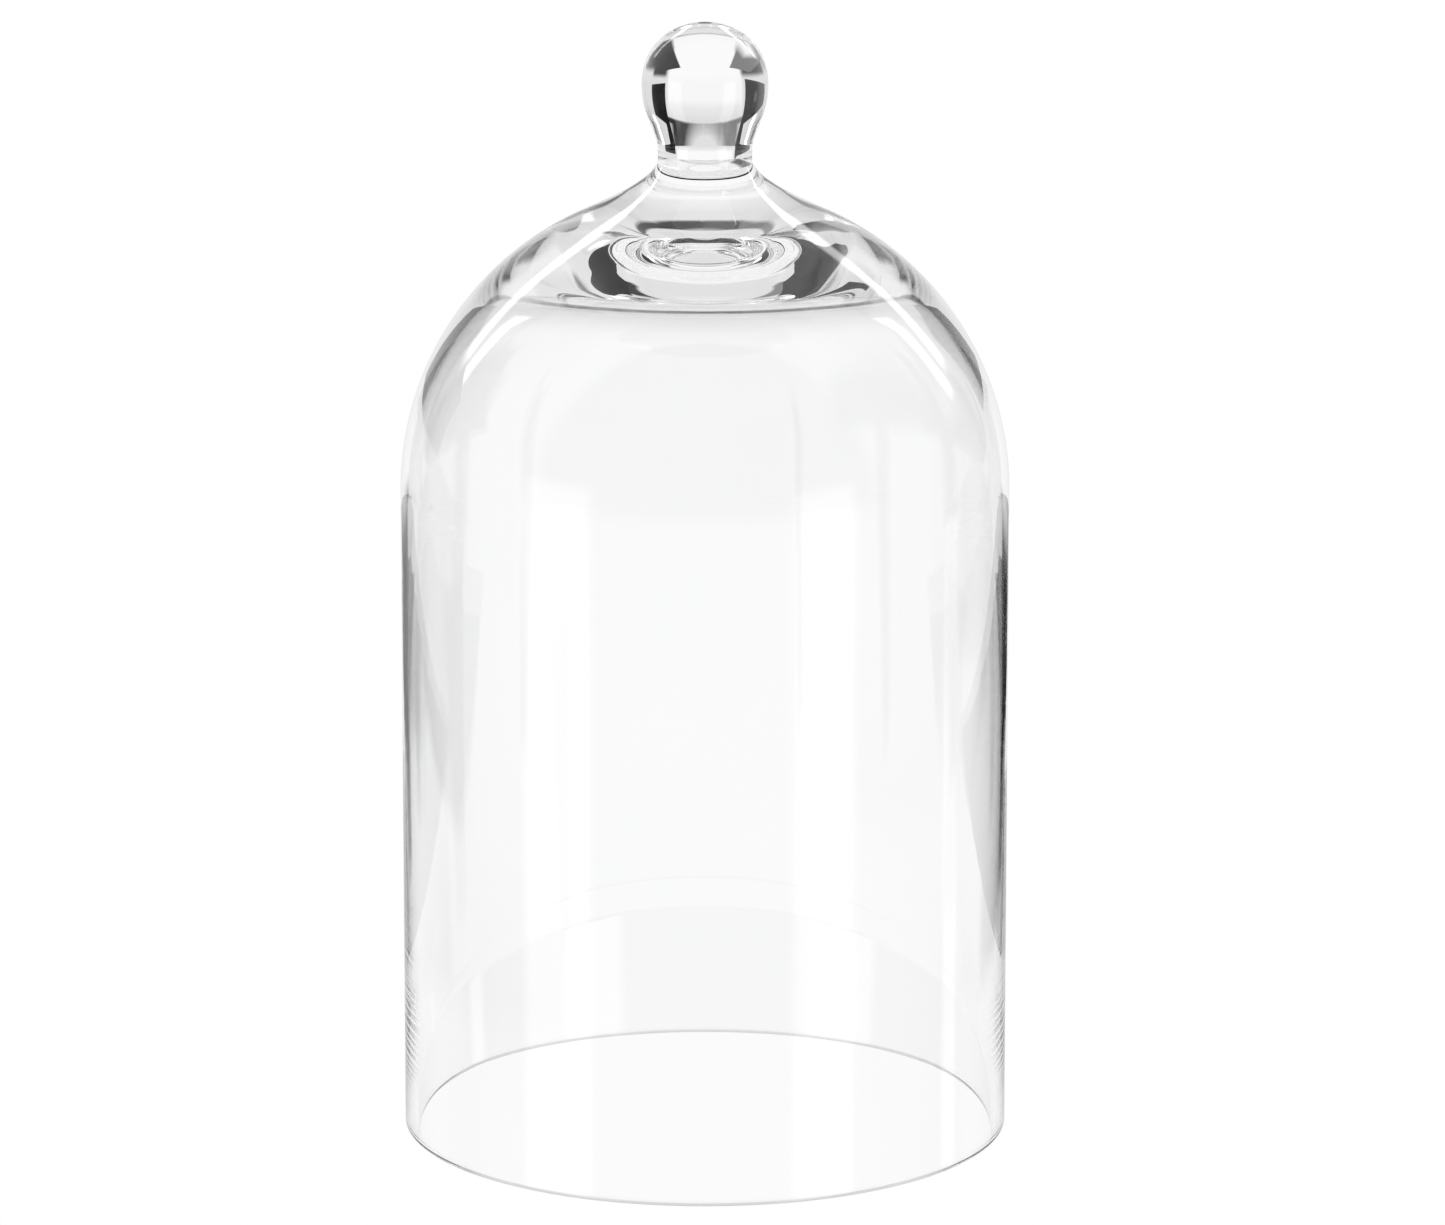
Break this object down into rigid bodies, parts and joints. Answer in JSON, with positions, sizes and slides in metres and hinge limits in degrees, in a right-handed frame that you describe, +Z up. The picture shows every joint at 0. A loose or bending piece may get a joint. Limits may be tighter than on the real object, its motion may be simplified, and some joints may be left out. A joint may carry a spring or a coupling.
{
  "type": "bell jar dome",
  "caption": "Clear glass bell jar dome: straight round wall, hemispherical shoulder, thick flat-roofed crown and a solid ball knob to lift it by; open at the bottom.",
  "frame": {"origin": "centre of the circle that the rim stands on, at the level of the rim's flat", "axes": "+Z up along the axis of the bell, from the open mouth to the knob; the dome is the same all round, so +X and +Y are free"},
  "size_m": [0.16, 0.16, 0.2964],
  "materials": {
    "bell_glass": "clear, colourless, fire-polished",
    "knob_glass": "clear, colourless, fire-polished"
  },
  "bodies": {
    "root": {"bell": "bell_glass", "knob": "knob_glass"}
  },
  "joints": []
}
